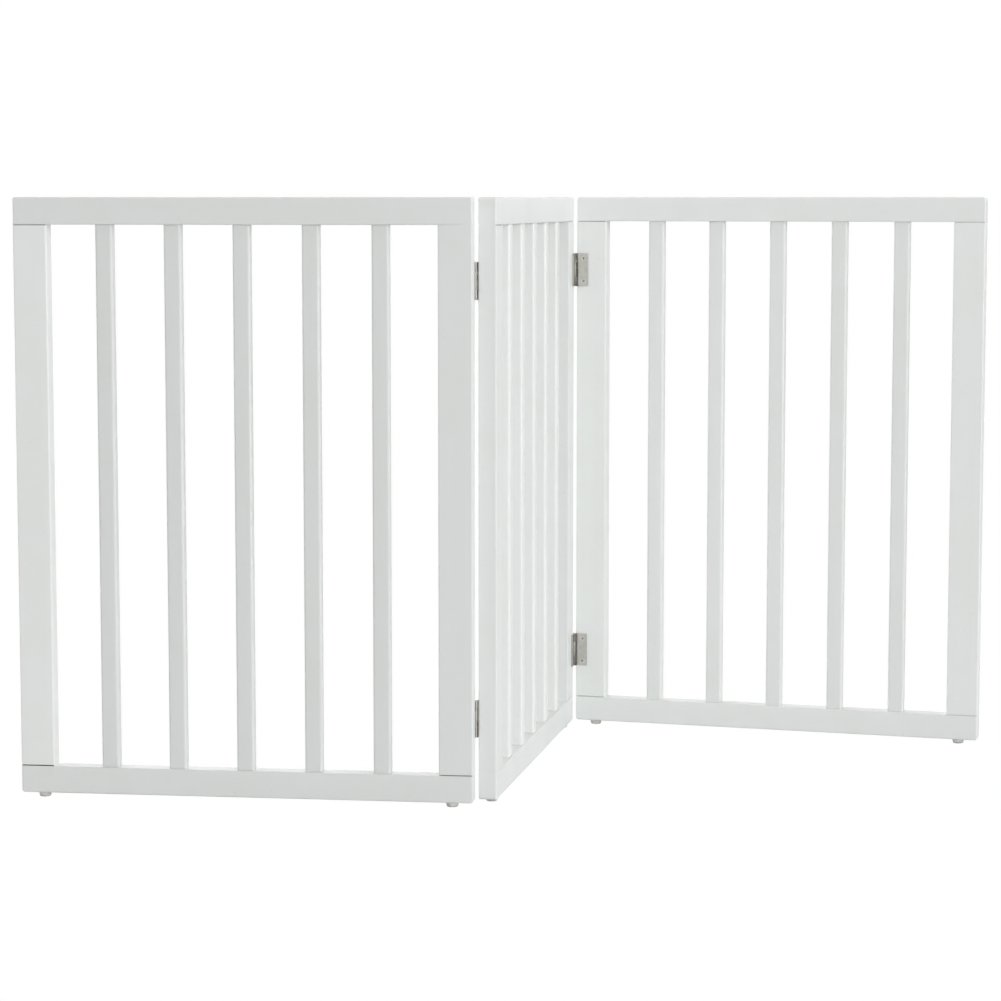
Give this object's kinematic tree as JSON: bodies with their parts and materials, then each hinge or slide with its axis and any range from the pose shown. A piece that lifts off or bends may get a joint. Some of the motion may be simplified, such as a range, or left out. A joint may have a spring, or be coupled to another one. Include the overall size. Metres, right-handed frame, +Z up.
{
  "type": "folding pet gate",
  "caption": "Free-standing folding pet gate: slatted white wooden panels joined by butt hinges into a zigzag, on small feet.",
  "frame": {"origin": "on the floor, at the middle of the gate's box as it stands in its zigzag", "axes": "+X along the gate from the left wing to the right wing, +Y from its front to its back, +Z up"},
  "size_m": [1.027, 0.4928, 0.61],
  "materials": {
    "rail": "satin white lacquer",
    "stile": "satin white lacquer",
    "slat": "satin white lacquer",
    "foot": "pale grey, matte",
    "hinge_leaf": "satin nickel plate",
    "hinge_pin": "plain steel",
    "hinge_screw": "nickel plate"
  },
  "bodies": {
    "middle_panel": {"middle_top_rail": "rail", "middle_bottom_rail": "rail", "middle_left_stile": "stile", "middle_right_stile": "stile", "middle_slat_1": "slat", "middle_slat_2": "slat", "middle_slat_3": "slat", "middle_slat_4": "slat", "middle_slat_5": "slat", "middle_left_foot": "foot", "middle_right_foot": "foot", "left_upper_hinge_middle_leaf": "hinge_leaf", "left_upper_hinge_middle_top_screw": "hinge_screw", "left_upper_hinge_middle_bottom_screw": "hinge_screw", "left_lower_hinge_middle_leaf": "hinge_leaf", "left_lower_hinge_middle_top_screw": "hinge_screw", "right_upper_hinge_middle_leaf": "hinge_leaf", "right_upper_hinge_middle_top_screw": "hinge_screw", "right_upper_hinge_middle_bottom_screw": "hinge_screw", "right_upper_hinge_pin": "hinge_pin", "right_lower_hinge_middle_leaf": "hinge_leaf", "right_lower_hinge_middle_top_screw": "hinge_screw", "right_lower_hinge_middle_bottom_screw": "hinge_screw", "right_lower_hinge_pin": "hinge_pin"},
    "left_panel": {"left_top_rail": "rail", "left_bottom_rail": "rail", "left_left_stile": "stile", "left_right_stile": "stile", "left_slat_1": "slat", "left_slat_2": "slat", "left_slat_3": "slat", "left_slat_4": "slat", "left_slat_5": "slat", "left_left_foot": "foot", "left_right_foot": "foot", "left_upper_hinge_wing_leaf": "hinge_leaf", "left_upper_hinge_wing_top_screw": "hinge_screw", "left_upper_hinge_wing_bottom_screw": "hinge_screw", "left_upper_hinge_pin": "hinge_pin", "left_lower_hinge_wing_leaf": "hinge_leaf", "left_lower_hinge_wing_top_screw": "hinge_screw", "left_lower_hinge_wing_bottom_screw": "hinge_screw", "left_lower_hinge_pin": "hinge_pin"},
    "right_panel": {"right_top_rail": "rail", "right_bottom_rail": "rail", "right_left_stile": "stile", "right_right_stile": "stile", "right_slat_1": "slat", "right_slat_2": "slat", "right_slat_3": "slat", "right_slat_4": "slat", "right_slat_5": "slat", "right_left_foot": "foot", "right_right_foot": "foot", "right_upper_hinge_wing_leaf": "hinge_leaf", "right_upper_hinge_wing_top_screw": "hinge_screw", "right_upper_hinge_wing_bottom_screw": "hinge_screw", "right_lower_hinge_wing_leaf": "hinge_leaf", "right_lower_hinge_wing_top_screw": "hinge_screw", "right_lower_hinge_wing_bottom_screw": "hinge_screw"}
  },
  "joints": [
    {"name": "left_fold", "type": "hinge", "parent": "middle_panel", "child": "left_panel", "pos_m": [-0.04871, -0.22669, 0.305], "axis": [0, 0, 1], "range_deg": [-93.7, 86.3]},
    {"name": "right_fold", "type": "hinge", "parent": "middle_panel", "child": "right_panel", "pos_m": [0.06193, 0.22775, 0.305], "axis": [0, 0, 1], "range_deg": [-84.1, 95.9]}
  ]
}
